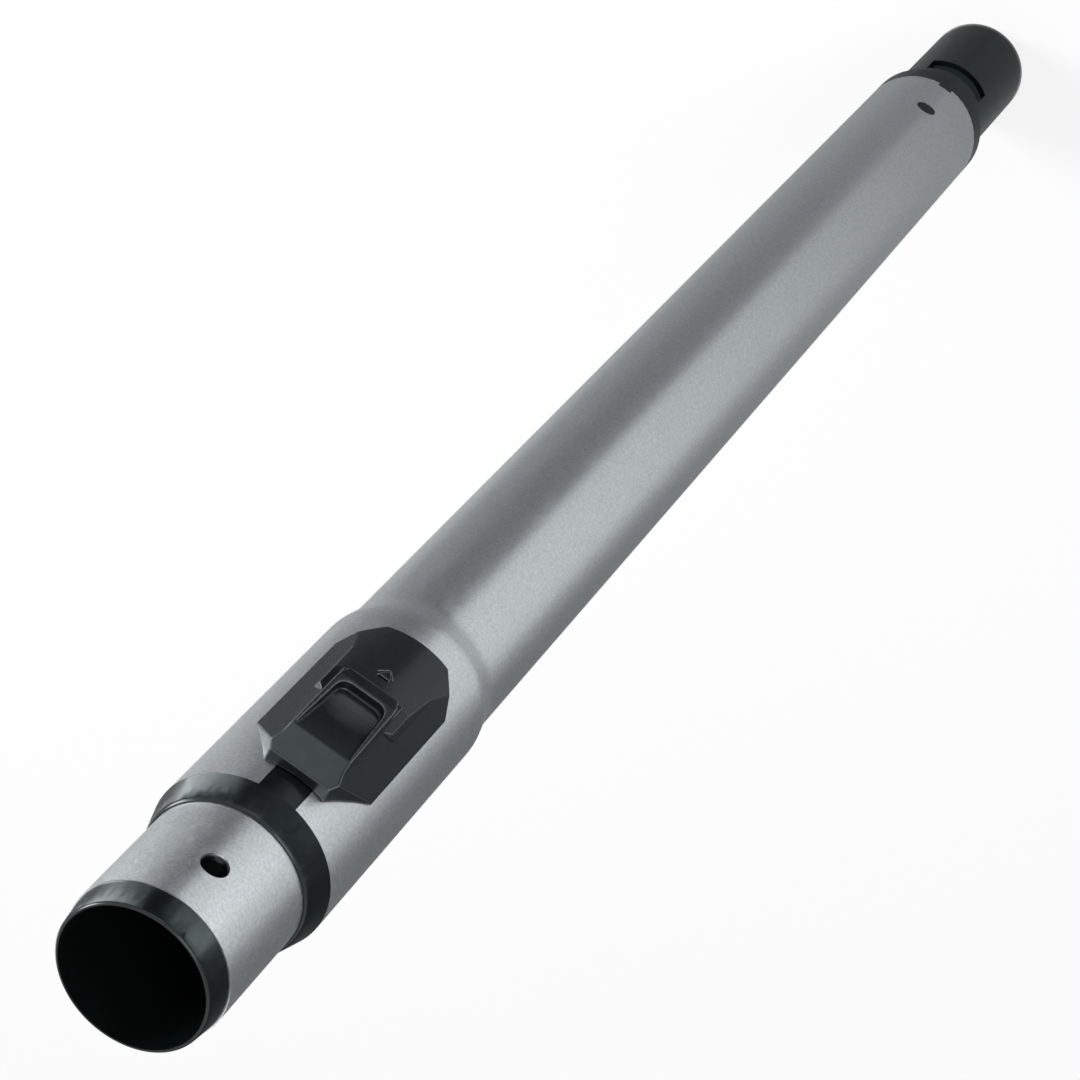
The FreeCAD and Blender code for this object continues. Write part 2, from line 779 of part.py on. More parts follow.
# Radii shared by pieces that fit together
outer_bore = d["outer_tube_radius"] - d["tube_wall"]
wide_bore = d["mouth_radius"] - d["tube_wall"]
inner_bore = d["inner_tube_radius"] - d["tube_wall"]
roller_rest = d["inner_tube_radius"] - d["detent_depth"] + d["roller_radius"]
foot_outside = wide_bore - d["foot_gap"]
foot_inside = foot_outside - d["foot_thickness"]
spring_axis = d["mouth_radius"] + d["spring_rise"]
spring_space = d["spring_radius"] + d["spring_wire_radius"] + d["spring_room"]

nozzle_connector()
outer_tube()
inner_tube()
end_bush()
socket_liner()
guide_sleeve()
thumb_slide()
lock_roller()
return_spring()

write_parts([
    "nozzle_connector",
    "outer_tube",
    "inner_tube",
    "end_bush",
    "socket_liner",
    "guide_sleeve",
    "thumb_slide",
    "lock_roller",
    "return_spring",
])
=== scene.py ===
# %% [markdown]
# # A telescopic vacuum wand
# A drawn steel tube slides inside a swaged one, a thumb slide locks the two, and black
# moulded fittings close both ends. The solids come ready made from the imported model, so
# this lesson is about their looks: the studio, the edges that catch light and the finishes.
# The first step loads the solids and measures them, because later steps read sizes and places from them.

# %% Load the imported solids
import bpy
import bmesh
import json
import math
import numpy as np
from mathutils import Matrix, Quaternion, Vector


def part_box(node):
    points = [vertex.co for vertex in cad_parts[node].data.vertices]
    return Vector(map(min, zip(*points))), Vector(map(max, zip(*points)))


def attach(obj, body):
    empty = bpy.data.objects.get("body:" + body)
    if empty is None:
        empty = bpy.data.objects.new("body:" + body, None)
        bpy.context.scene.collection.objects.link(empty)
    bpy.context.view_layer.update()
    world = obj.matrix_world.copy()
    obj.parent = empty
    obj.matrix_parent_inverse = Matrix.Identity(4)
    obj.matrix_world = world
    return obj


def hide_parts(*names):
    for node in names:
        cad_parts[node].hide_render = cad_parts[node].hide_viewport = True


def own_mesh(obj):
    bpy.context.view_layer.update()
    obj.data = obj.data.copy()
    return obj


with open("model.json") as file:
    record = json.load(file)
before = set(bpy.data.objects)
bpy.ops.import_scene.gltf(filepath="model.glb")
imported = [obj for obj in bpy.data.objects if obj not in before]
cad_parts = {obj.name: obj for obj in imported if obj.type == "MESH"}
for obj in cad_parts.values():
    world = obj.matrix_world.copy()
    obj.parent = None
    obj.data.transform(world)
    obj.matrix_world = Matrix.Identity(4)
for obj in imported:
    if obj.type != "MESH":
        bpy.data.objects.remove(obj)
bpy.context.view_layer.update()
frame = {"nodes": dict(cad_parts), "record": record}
MM = 0.001
print("solids:", sorted(frame["nodes"]))

# %% [markdown]
# ## The camera
# The wand stands upright in its own frame, and the photograph looks down along it from
# above its handle end, turned so that the wand runs from corner to corner. A camera is a
# place, a point to aim at and a roll about the line between them. The lens is given for a
# picture as wide as it is high, so the sensor keeps Blender's usual 36 mm.

# %% Place the camera
CAMERA_PLACE = Vector((-80.82, -476.81, 1094.14)) * MM
CAMERA_AIM = Vector((-0.25, 0.04, 409.96)) * MM
CAMERA_ROLL = math.radians(-137.125)
CAMERA_LENS = 106.016
SENSOR = 36

scene = bpy.context.scene
camera_data = bpy.data.cameras.new("studio_camera")
camera_data.lens = CAMERA_LENS
camera_data.sensor_width = SENSOR
camera = bpy.data.objects.new("studio_camera", camera_data)
scene.collection.objects.link(camera)
camera.location = CAMERA_PLACE
camera.rotation_mode = "QUATERNION"
aimed = (CAMERA_AIM - CAMERA_PLACE).to_track_quat("-Z", "Y")
camera.rotation_quaternion = aimed @ Quaternion((0, 0, 1), CAMERA_ROLL)
scene.camera = camera
print("camera stands", round((CAMERA_AIM - CAMERA_PLACE).length, 3), "m from its aim")

# %% [markdown]
# ## The floor's paint
# The photograph has a plain white ground. White paint alone would need so much light that
# the wand washed out, so the floor's paint is mixed with a white of strength 1 for the rays
# that look at it: from the camera, or by way of shiny and clear surfaces. What is left of
# the paint still takes the wand's shadow.

# %% Mix the floor's paint
FLOOR_PAINT = (0.9, 0.9, 0.9, 1)
FLOOR_WHITE_SHARE = 0.8
WHITE = (1, 1, 1, 1)


def new_material(name):
    """An empty node material: its tree and the socket that its surface goes into."""
    material = bpy.data.materials.new(name)
    material.use_nodes = True
    tree = material.node_tree
    tree.nodes.clear()
    output = tree.nodes.new("ShaderNodeOutputMaterial")
    return material, tree, output.inputs["Surface"]


def looked_at(tree):
    """1 for rays from the camera, from shiny surfaces and through clear ones, and else 0."""
    rays = tree.nodes.new("ShaderNodeLightPath")
    seen = rays.outputs["Is Camera Ray"]
    for kind in ("Is Glossy Ray", "Is Transmission Ray"):
        either = tree.nodes.new("ShaderNodeMath")
        either.operation = "MAXIMUM"
        tree.links.new(seen, either.inputs[0])
        tree.links.new(rays.outputs[kind], either.inputs[1])
        seen = either.outputs[0]
    return seen


def floor_paint():
    """White paint that looks white by itself and still takes a shadow."""
    material, tree, surface = new_material("floor_paint")
    paint = tree.nodes.new("ShaderNodeBsdfDiffuse")
    paint.inputs["Color"].default_value = FLOOR_PAINT
    white = tree.nodes.new("ShaderNodeEmission")
    white.inputs["Color"].default_value = WHITE
    share = tree.nodes.new("ShaderNodeMath")
    share.operation = "MULTIPLY"
    share.inputs[1].default_value = FLOOR_WHITE_SHARE
    tree.links.new(looked_at(tree), share.inputs[0])
    mix = tree.nodes.new("ShaderNodeMixShader")
    tree.links.new(share.outputs[0], mix.inputs["Fac"])
    tree.links.new(paint.outputs[0], mix.inputs[1])
    tree.links.new(white.outputs[0], mix.inputs[2])
    tree.links.new(mix.outputs[0], surface)
    return material


floor_material = floor_paint()
print("floor paint:", len(floor_material.node_tree.nodes), "nodes")

# %% [markdown]
# ## The floor
# The wand stands on a wide white sheet, as on a studio's paper roll. One square face at
# height zero is enough, because the camera looks down and sees nothing else behind the
# wand. The Standard view transform shows a white of strength 1 as the screen's white.

# %% Lay the floor
FLOOR_HALF = 6.0
SQUARE = ((-1, -1), (1, -1), (1, 1), (-1, 1))

scene.view_settings.view_transform = "Standard"


def mesh_object(name, corners, faces):
    """A new object in the scene from its corners and faces."""
    mesh = bpy.data.meshes.new(name)
    mesh.from_pydata(corners, [], faces)
    piece = bpy.data.objects.new(name, mesh)
    scene.collection.objects.link(piece)
    return piece


floor = mesh_object("floor", [(x * FLOOR_HALF, y * FLOOR_HALF, 0) for x, y in SQUARE], [(0, 1, 2, 3)])
floor.data.materials.append(floor_material)
print("floor:", FLOOR_HALF * 2, "m across")

# %% [markdown]
# ## The surroundings
# A studio's walls throw a little light back from every side. A world with one even grey
# does the same. Rays that look at it see white instead, nearly as they see the floor, so
# that metal mirrors a pale room.

# %% Light the world
AMBIENT = 0.45

world = bpy.data.worlds.new("studio")
world.use_nodes = True
scene.world = world
tree = world.node_tree
tree.nodes.clear()
backdrop = tree.nodes.new("ShaderNodeBackground")
backdrop.inputs["Color"].default_value = WHITE
ambient = tree.nodes.new("ShaderNodeBackground")
ambient.inputs["Color"].default_value = WHITE
ambient.inputs["Strength"].default_value = AMBIENT
choice = tree.nodes.new("ShaderNodeMixShader")
tree.links.new(looked_at(tree), choice.inputs["Fac"])
tree.links.new(ambient.outputs[0], choice.inputs[1])
tree.links.new(backdrop.outputs[0], choice.inputs[2])
output = tree.nodes.new("ShaderNodeOutputWorld")
tree.links.new(choice.outputs[0], output.inputs["Surface"])
print("ambient:", AMBIENT)

# %% [markdown]
# ## Lamps
# Three soft lamps light the mouldings: a weak key lamp at the front on the left, a stronger
# one at the right that picks out the flank that the picture shows on the slide's left, and a
# faint low strip in front of the slope below the thumb. Point lamps would give hard shadows
# and pinprick glints, so these are area lamps, whose large faces soften both. Each is placed
# by a turn about the wand and a rise above the floor, in degrees, which is how a
# photographer walks a lamp round a subject.

# %% Set the lamps
LAMP_AIM = Vector((0, 0, 0.4))
LAMPS = {
    "key_lamp": {"turn": -35, "rise": 42, "distance": 1.6, "size": (0.8, 1.2), "power": 9},
    "flank_lamp": {"turn": 98, "rise": 24, "distance": 1.5, "size": (0.5, 1.2), "power": 24},
    "front_strip": {"turn": 14, "rise": 3, "distance": 1.6, "size": (0.5, 0.4), "power": 1.0},
}


def round_the_wand(turn, rise=0):
    """The direction that is turned about the wand from its front and raised, in degrees."""
    around = math.radians(turn)
    up = math.radians(rise)
    return Vector((math.sin(around) * math.cos(up), -math.cos(around) * math.cos(up), math.sin(up)))


def add_lamp(name, turn, rise, distance, size, power):
    """An area lamp that faces the wand and doesn't show in the picture itself."""
    data = bpy.data.lights.new(name, "AREA")
    data.shape = "RECTANGLE"
    data.size, data.size_y = size
    data.energy = power
    lamp = bpy.data.objects.new(name, data)
    scene.collection.objects.link(lamp)
    lamp.location = LAMP_AIM + round_the_wand(turn, rise) * distance
    lamp.rotation_mode = "QUATERNION"
    lamp.rotation_quaternion = (LAMP_AIM - lamp.location).to_track_quat("-Z", "Y")
    lamp.visible_camera = False


for name, facts in LAMPS.items():
    add_lamp(name, **facts)
print("lamps:", list(LAMPS))

# %% [markdown]
# ## The paint of the reflection cards
# A shiny tube shows what stands round it as long streaks, and photographers of metal set
# light and dark cards round it to choose them. This camera looks down on the wand, so the
# streaks come from the floor, and the cards lie there. A card changes its shade from the
# wand's foot outwards, as the streaks change along the tube. A colour ramp on the distance
# gives that, with one stop for each change.

# %% Mix a card's paint
CARD_FAR = 3.0
CARD_TINT = (0.96, 1.0, 1.01)
RAMP_MIDDLE = 0.5


def card_paint(name, shades):
    """A card that changes its shade with the distance from the wand, from stop to stop."""
    material, tree, surface = new_material(name)
    place = tree.nodes.new("ShaderNodeTexCoord")
    reach = tree.nodes.new("ShaderNodeVectorMath")
    reach.operation = "LENGTH"
    tree.links.new(place.outputs["Object"], reach.inputs[0])
    share = tree.nodes.new("ShaderNodeMath")
    share.operation = "DIVIDE"
    share.inputs[1].default_value = CARD_FAR
    tree.links.new(reach.outputs["Value"], share.inputs[0])
    ramp = tree.nodes.new("ShaderNodeValToRGB")
    stops = ramp.color_ramp.elements
    while len(stops) < len(shades):
        stops.new(RAMP_MIDDLE)
    for stop, (distance, shade) in zip(stops, shades):
        stop.position = distance / CARD_FAR
        stop.color = (*(shade * part for part in CARD_TINT), 1)
    tree.links.new(share.outputs[0], ramp.inputs["Fac"])
    glow = tree.nodes.new("ShaderNodeEmission")
    tree.links.new(ramp.outputs["Color"], glow.inputs["Color"])
    tree.links.new(glow.outputs[0], surface)
    return material


print("a card's paint reaches", CARD_FAR, "m from the wand")

# %% [markdown]
# ## The reflection cards
# The cards lie round the wand like slices of a cake. The upright tube mirrors their inner
# parts: dark ones in front of it, and light ones at its left, which make the bright streak.
# The sloping end ring, collar and thumb dish mirror what lies farther out, so a few slices
# turn bright there. Only shiny surfaces see the cards, which light nothing else and cast no
# shadow. A turn is in degrees from the wand's front, and a shade is a distance in metres
# with the brightness there.

# %% Choose the cards' shades
DARK_NEAR = ((0.06, 0.21), (0.42, 0.05))
LIGHT_NEAR = ((0.06, 0.25), (0.36, 0.74), (0.56, 0.66), (0.85, 0.4))
RIGHT_NEAR = ((0.06, 0.25), (0.36, 0.15), (0.44, 0.08))
BACK_NEAR = ((0.06, 0.25), (0.33, 0.4), (0.44, 0.24))
CARDS = {
    "front_card": {"turns": (16, 44), "shades": DARK_NEAR},
    "dish_card": {
        "turns": (3, 16),
        "shades": DARK_NEAR + ((0.58, 0.06), (0.68, 1.7), (0.9, 1.2), (1.1, 0.2)),
    },
    "side_card": {
        "turns": (44, 62),
        "shades": DARK_NEAR + ((0.98, 0.05), (1.1, 5.4), (1.32, 5.4), (1.45, 0.3)),
    },
    "light_card": {
        "turns": (-22, 3),
        "shades": LIGHT_NEAR + ((1.0, 3.0), (1.15, 3.0), (1.3, 0.3)),
    },
    "glint_card": {
        "turns": (-50, -22),
        "shades": LIGHT_NEAR + ((1.0, 5.2), (1.15, 5.2), (1.3, 0.3)),
    },
    "fading_card": {
        "turns": (-62, -50),
        "shades": LIGHT_NEAR + ((1.0, 1.2), (1.15, 1.2), (1.3, 0.3)),
    },
    "light_edge_card": {"turns": (-84, -62), "shades": LIGHT_NEAR + ((1.0, 0.3),)},
    "half_light_card": {
        "turns": (-102, -84),
        "shades": ((0.06, 0.27), (0.36, 0.32), (0.56, 0.28), (0.85, 0.16)),
    },
    "left_card": {"turns": (-190, -102), "shades": ((0.06, 0.28), (0.42, 0.12))},
    "corner_card": {
        "turns": (62, 78),
        "shades": RIGHT_NEAR + ((0.9, 0.12), (1.02, 6.2), (1.28, 6.2), (1.4, 0.3)),
    },
    "right_card": {
        "turns": (78, 108),
        "shades": RIGHT_NEAR + ((0.82, 0.13), (0.95, 6.2), (1.2, 6.2), (1.35, 0.3)),
    },
    "back_card": {
        "turns": (108, 170),
        "shades": BACK_NEAR + ((0.86, 0.25), (0.94, 2.4), (1.05, 2.4), (1.2, 0.3)),
    },
}
print("cards:", list(CARDS))

# %% Lay the cards
CARD_HEIGHT = 1 * MM
CARD_NEAR = 0.018
CARD_STEPS = 24


def add_card(name, turns, shades):
    """A slice of a ring on the floor, between two turns about the wand."""
    start, end = turns
    steps = [start + (end - start) * step / CARD_STEPS for step in range(CARD_STEPS + 1)]
    lift = Vector((0, 0, CARD_HEIGHT))
    corners = [round_the_wand(turn) * reach + lift for turn in steps for reach in (CARD_NEAR, CARD_FAR)]
    faces = [(2 * i, 2 * i + 1, 2 * i + 3, 2 * i + 2) for i in range(CARD_STEPS)]
    card = mesh_object(name, corners, faces)
    card.data.materials.append(card_paint(name, shades))
    for ray in ("camera", "diffuse", "transmission", "volume_scatter", "shadow"):
        setattr(card, "visible_" + ray, False)


for name, facts in CARDS.items():
    add_card(name, **facts)
print("laid", len(CARDS), "cards from", CARD_NEAR, "to", CARD_FAR, "m")

# %% [markdown]
# ## The painted shade under the bore
# The wand is an open pipe, and the camera looks into its upper end. In the photograph the bore is dark
# inside, while here the white floor would shine up through it. A small dark disc on the floor, a little
# narrower than the spigot that stands over it, stops that. The disc is painted shade: it glows dimly in
# the grey of the shaded bore.

# %% Darken the bore
BORE_SHADE = (0.014, 0.019, 0.019, 1)
BORE_SHARE = 0.8
BORE_STEPS = 24
FULL_TURN = 360

bore_material, tree, surface = new_material("painted_bore_shade")
# Painted shade: the disc glows dimly in the grey of the bore's shade, though it is no lamp.
shade = tree.nodes.new("ShaderNodeEmission")
shade.inputs["Color"].default_value = BORE_SHADE
tree.links.new(shade.outputs[0], surface)
bore_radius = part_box("nozzle_connector")[1][0] * BORE_SHARE
turns = [FULL_TURN * step / BORE_STEPS for step in range(BORE_STEPS)]
ring = [round_the_wand(turn) * bore_radius + Vector((0, 0, CARD_HEIGHT)) for turn in turns]
painted_bore_shade = mesh_object("painted_bore_shade", ring, [tuple(range(BORE_STEPS))])
painted_bore_shade.data.materials.append(bore_material)
print("bore disc:", round(bore_radius / MM, 1), "mm in radius")

# %% [markdown]
# ## What the finishes share
# Each finish is a small tree of nodes round one Principled shader. A picture could be
# wrapped round the wand instead, but it would need unwrapped surfaces and would blur close
# up. Noise on the piece's own coordinates needs no unwrapping and stays sharp, and its grain
# keeps its place when the wand moves. Most of a noise's values lie near its middle, so that
# stretch is what the helpers spread between two roughnesses or two colours.

# %% Helpers for the finishes
NOISE_FROM, NOISE_TO = 0.3, 0.7
finishes = {}


def new_finish(name):
    """A material with one Principled shader on its surface."""
    material, tree, surface = new_material(name)
    shader = tree.nodes.new("ShaderNodeBsdfPrincipled")
    tree.links.new(shader.outputs["BSDF"], surface)
    return material, tree, shader


def grain(tree, scale, detail):
    """Noise on the piece's own coordinates, in waves per metre."""
    place = tree.nodes.new("ShaderNodeTexCoord")
    noise = tree.nodes.new("ShaderNodeTexNoise")
    noise.inputs["Scale"].default_value = scale
    noise.inputs["Detail"].default_value = detail
    tree.links.new(place.outputs["Object"], noise.inputs["Vector"])
    return noise.outputs["Fac"]


def between(tree, factor, low, high):
    """The factor's middle range spread from low to high."""
    spread = tree.nodes.new("ShaderNodeMapRange")
    spread.inputs["From Min"].default_value = NOISE_FROM
    spread.inputs["From Max"].default_value = NOISE_TO
    spread.inputs["To Min"].default_value = low
    spread.inputs["To Max"].default_value = high
    tree.links.new(factor, spread.inputs["Value"])
    return spread.outputs["Result"]


def tint(tree, factor, dark, light):
    """A colour between two, by a factor's middle range."""
    mix = tree.nodes.new("ShaderNodeMix")
    mix.data_type = "RGBA"
    mix.inputs["A"].default_value = (*dark, 1)
    mix.inputs["B"].default_value = (*light, 1)
    tree.links.new(between(tree, factor, 0, 1), mix.inputs["Factor"])
    return mix.outputs["Result"]


def bump(tree, shader, height, strength, distance):
    """Tilts the shader's light by a height that the mesh doesn't have."""
    node = tree.nodes.new("ShaderNodeBump")
    node.inputs["Strength"].default_value = strength
    node.inputs["Distance"].default_value = distance
    tree.links.new(height, node.inputs["Height"])
    tree.links.new(node.outputs["Normal"], shader.inputs["Normal"])


print("noise is spread from", NOISE_FROM, "to", NOISE_TO)

# %% [markdown]
# ## Lacquered steel
# Both tubes are thin drawn steel under a sprayed lacquer with fine metal flake, so they
# shine in soft, slightly grainy bands. A mirror would look chromed and a plain grey would
# look painted. So the shader is nearly all metal, one fine noise stands for the flake in
# colour and bump, and a second, coarser one varies how far the reflections blur.

# %% Make the lacquered steel
LACQUER_METAL = 0.92
FLAKE_SCALE, FLAKE_DETAIL = 1500, 3
FLAKE_DARK = (0.60, 0.62, 0.63)
FLAKE_LIGHT = (0.78, 0.80, 0.815)
FLAKE_STRENGTH, FLAKE_HEIGHT = 0.05, 0.05 * MM
SPRAY_SCALE, SPRAY_DETAIL = 700, 2
SPRAY_ROUGHNESS = (0.285, 0.36)


def lacquered_steel():
    """Steel under a sprayed lacquer with metal flake."""
    material, tree, shader = new_finish("lacquered_steel")
    flake = grain(tree, FLAKE_SCALE, FLAKE_DETAIL)
    spray = grain(tree, SPRAY_SCALE, SPRAY_DETAIL)
    shader.inputs["Metallic"].default_value = LACQUER_METAL
    tree.links.new(tint(tree, flake, FLAKE_DARK, FLAKE_LIGHT), shader.inputs["Base Color"])
    tree.links.new(between(tree, spray, *SPRAY_ROUGHNESS), shader.inputs["Roughness"])
    bump(tree, shader, flake, FLAKE_STRENGTH, FLAKE_HEIGHT)
    return material


finishes["lacquered_steel"] = lacquered_steel()
print("lacquered steel:", len(finishes["lacquered_steel"].node_tree.nodes), "nodes")

# %% [markdown]
# ## Black plastic
# The end ring, the collar and the nozzle spigot are black mouldings from a polished mould:
# nearly no colour of their own, and a shine that is only slightly blurred. Pure black with
# even gloss looks cut out of paper, so a fine spark breaks up the surface and a broad noise
# varies the gloss by a little. The slide's plastic starts the same way, so one helper makes
# what the two have in common and gives back the plain colour.

# %% Make the black plastic
PLASTIC_GLOSS = (0.87, 1.0, 0.99)
SPARK_SCALE, SPARK_DETAIL = 2600, 2
SPARK_HEIGHT = 0.03 * MM
GLOSS_SCALE, GLOSS_DETAIL = 300, 3
BLACK_DARK = (0.003, 0.0042, 0.0044)
BLACK_LIGHT = (0.005, 0.0066, 0.0068)
BLACK_SPECULAR = 0.4
BLACK_ROUGHNESS = (0.19, 0.25)
BLACK_SPARK = 0.06


def moulded_plastic(name, colours, specular, roughness, spark_strength):
    """A plastic with its gloss and its spark, and its plain colour."""
    material, tree, shader = new_finish(name)
    spark = grain(tree, SPARK_SCALE, SPARK_DETAIL)
    gloss = grain(tree, GLOSS_SCALE, GLOSS_DETAIL)
    shader.inputs["Specular IOR Level"].default_value = specular
    shader.inputs["Specular Tint"].default_value = (*PLASTIC_GLOSS, 1)
    tree.links.new(between(tree, gloss, *roughness), shader.inputs["Roughness"])
    bump(tree, shader, spark, spark_strength, SPARK_HEIGHT)
    return material, tree, shader, tint(tree, spark, *colours)


def black_plastic():
    """The plastic of the ring, the collar and the spigot."""
    material, tree, shader, plain_colour = moulded_plastic(
        "black_plastic", (BLACK_DARK, BLACK_LIGHT), BLACK_SPECULAR, BLACK_ROUGHNESS, BLACK_SPARK)
    tree.links.new(plain_colour, shader.inputs["Base Color"])
    return material


finishes["black_plastic"] = black_plastic()
print("black plastic:", len(finishes["black_plastic"].node_tree.nodes), "nodes")

# %% [markdown]
# ## The slide's plastic
# The slide is painted greyer on its edges and in the middle of its pad: painted highlights along the
# rounded edges, where light catches them, and a painted sheen in the pad. The grey could be painted by
# hand, but then it would be lost with each change of the shape. So the material mixes in a grey by a value
# that each point of the mesh carries, an attribute, and the step that rounds the slide's edges works that
# value out.

# %% Make the slide's plastic
# Painted highlights on the slide's edges and painted sheen in the middle of its pad, mixed in as one grey.
PAINTED_HIGHLIGHT = "painted_highlight"
PAINTED_HIGHLIGHT_GREY = (0.115, 0.119, 0.121)
SLIDE_DARK = (0.005, 0.0066, 0.0068)
SLIDE_LIGHT = (0.008, 0.0102, 0.0105)
SLIDE_SPECULAR = 0.42
SLIDE_ROUGHNESS = (0.2, 0.26)
SLIDE_SPARK = 0.08


def slide_plastic():
    """The slide's plastic, greyer where its attribute is higher: painted highlights on the edges and
    painted sheen on the pad.
    """
    material, tree, shader, plain_colour = moulded_plastic(
        "slide_plastic", (SLIDE_DARK, SLIDE_LIGHT), SLIDE_SPECULAR, SLIDE_ROUGHNESS, SLIDE_SPARK)
    # The attribute holds painted highlights on the edges and painted sheen on the pad.
    rounding_and_highlight = tree.nodes.new("ShaderNodeAttribute")
    rounding_and_highlight.attribute_name = PAINTED_HIGHLIGHT
    highlight_colour = tree.nodes.new("ShaderNodeMix")
    highlight_colour.data_type = "RGBA"
    highlight_colour.inputs["B"].default_value = (*PAINTED_HIGHLIGHT_GREY, 1)
    tree.links.new(plain_colour, highlight_colour.inputs["A"])
    tree.links.new(rounding_and_highlight.outputs["Fac"], highlight_colour.inputs["Factor"])
    tree.links.new(highlight_colour.outputs["Result"], shader.inputs["Base Color"])
    return material


finishes["slide_plastic"] = slide_plastic()
print("slide plastic:", len(finishes["slide_plastic"].node_tree.nodes), "nodes")

# %% [markdown]
# ## Bare steel
# The lock roller and the return spring are hidden inside, where steel is left bare. It is
# the simplest finish: all metal, with one noise for the marks of drawing and grinding in
# both its colour and its roughness.

# %% Make the bare steel
DRAWN_SCALE, DRAWN_DETAIL = 1200, 2
DRAWN_DARK = (0.50, 0.50, 0.49)
DRAWN_LIGHT = (0.62, 0.62, 0.61)
DRAWN_ROUGHNESS = (0.24, 0.34)
ALL_METAL = 1.0


def bare_steel():
    """Drawn or ground steel without a coat."""
    material, tree, shader = new_finish("bare_steel")
    drawn = grain(tree, DRAWN_SCALE, DRAWN_DETAIL)
    shader.inputs["Metallic"].default_value = ALL_METAL
    tree.links.new(tint(tree, drawn, DRAWN_DARK, DRAWN_LIGHT), shader.inputs["Base Color"])
    tree.links.new(between(tree, drawn, *DRAWN_ROUGHNESS), shader.inputs["Roughness"])
    return material


finishes["bare_steel"] = bare_steel()
print("bare steel:", len(finishes["bare_steel"].node_tree.nodes), "nodes")

# %% [markdown]
# ## A finish for each solid
# The record that comes with the model says which material each solid is made of. Reading it
# here, rather than naming the pieces once more, keeps the looks in step with the model. The
# two tubes, the bush and the roller stay as they are and only take their finish.

# %% Give each solid its finish
subparts = {subpart["node"]: subpart for subpart in frame["record"]["subparts"]}
for name, node in frame["nodes"].items():
    for slot in node.material_slots:
        slot.material = finishes[subparts[name]["material_slot"]]
print("finishes:", {name: subpart["material_slot"] for name, subpart in subparts.items()})

# %% [markdown]
# ## The round mouldings
# A mould has no knife edges, so the real ring, collar and spigot have small roundings that
# draw fine lines of light. The solids have sharp edges. Their meshes are loose triangles, so
# a copy is joined and its flat parts are merged first. Then a Bevel modifier rounds every
# edge that is sharp enough, and weighted normals keep the large faces evenly shaded.

# %% Helpers for the skins
JOIN_WITHIN = 0.001 * MM
FLAT_WITHIN = math.radians(0.5)


def merged_copy(node_name, name):
    """A copy of a solid's mesh with its loose triangles joined."""
    mesh = bpy.data.meshes.new(name)
    form = bmesh.new()
    form.from_mesh(frame["nodes"][node_name].data)
    bmesh.ops.remove_doubles(form, verts=form.verts, dist=JOIN_WITHIN)
    bmesh.ops.dissolve_limit(form, angle_limit=FLAT_WITHIN, verts=form.verts, edges=form.edges)
    form.to_mesh(mesh)
    form.free()
    piece = bpy.data.objects.new(name, mesh)
    scene.collection.objects.link(piece)
    return piece


def apply_modifiers(piece):
    """The piece's mesh as its modifiers leave it, with the modifiers gone."""
    depsgraph = bpy.context.evaluated_depsgraph_get()
    shaped = bpy.data.meshes.new_from_object(piece.evaluated_get(depsgraph))
    piece.modifiers.clear()
    piece.data = shaped
    shaped.name = piece.name
    return shaped


def dress(piece, node_name, body):
    """The piece takes a solid's finish and its place on a body."""
    slot = subparts[node_name]["material_slot"]
    piece.data.materials.clear()
    piece.data.materials.append(finishes[slot])
    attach(piece, body)
    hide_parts(node_name)


print("points are joined within", JOIN_WITHIN / MM, "mm")

# %% Round the mouldings' edges
MOULDINGS = {"socket_liner": "inner", "guide_sleeve": "outer", "nozzle_connector": "outer"}
EDGE_ROUND = 0.35 * MM
EDGE_STEPS = 3
EDGE_SHARP = math.radians(40)

for node_name, body in MOULDINGS.items():
    moulding = merged_copy(node_name, node_name + "_skin")
    moulding.data.shade_smooth()
    soften = moulding.modifiers.new("soft_edges", "BEVEL")
    soften.width = EDGE_ROUND
    soften.segments = EDGE_STEPS
    soften.limit_method = "ANGLE"
    soften.angle_limit = EDGE_SHARP
    even = moulding.modifiers.new("even_shine", "WEIGHTED_NORMAL")
    even.mode = "FACE_AREA"
    shaped = apply_modifiers(moulding)
    dress(moulding, node_name, body)
    print(moulding.name, len(shaped.polygons), "faces")

# %% [markdown]
# ## The thumb slide's skin
# The slide is moulded too, with a dished pad, a rim and a pressed arrow. A Bevel modifier
# needs clean edges, and here arcs and slanting faces meet in slivers. So a copy of the solid
# is remeshed into an even skin of small faces, which has points everywhere for the next
# step to move.

# %% Wrap the slide in an even skin
SKIN_VOXEL = 0.15 * MM

slide_low, slide_high = (Vector(corner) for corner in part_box("thumb_slide"))
slide_skin = merged_copy("thumb_slide", "thumb_slide_skin")
remesh = slide_skin.modifiers.new("even_skin", "REMESH")
remesh.mode = "VOXEL"
remesh.voxel_size = SKIN_VOXEL
apply_modifiers(slide_skin)
print("even skin:", len(slide_skin.data.vertices), "points")

# %% [markdown]
# ## The slide's rounded edges
# Smoothing moves each point towards its neighbours, which wears all edges down alike and
# leaves flat faces where they are. A few rounds settle the small steps of the remesh, and
# more of them round the edges. The pressed arrow is too fine for that, so its points get
# only a small share of the smoothing, by way of a vertex group.

# %% Spare the arrow
FRONT_DEPTH = 4 * MM
MARK_WIDTH = 5.4 * MM
MARK_FROM, MARK_TO = 38.5 * MM, 46 * MM
MARK_WEAR = 0.12
ALL_WEAR = 1.0

wear_group = slide_skin.vertex_groups.new(name="rounding_and_highlight")
wear_group.add(range(len(slide_skin.data.vertices)), ALL_WEAR, "REPLACE")
mark = [point.index for point in slide_skin.data.vertices
        if abs(point.co.x) < MARK_WIDTH / 2
        and MARK_FROM < slide_high.z - point.co.z < MARK_TO
        and point.co.y < slide_low.y + FRONT_DEPTH]
wear_group.add(mark, MARK_WEAR, "REPLACE")
print("arrow:", len(mark), "points that keep their edges")

# %% Wear the edges down
SETTLE_ROUNDS, WEAR_ROUNDS = 6, 20
SMOOTH_FACTOR = 0.5


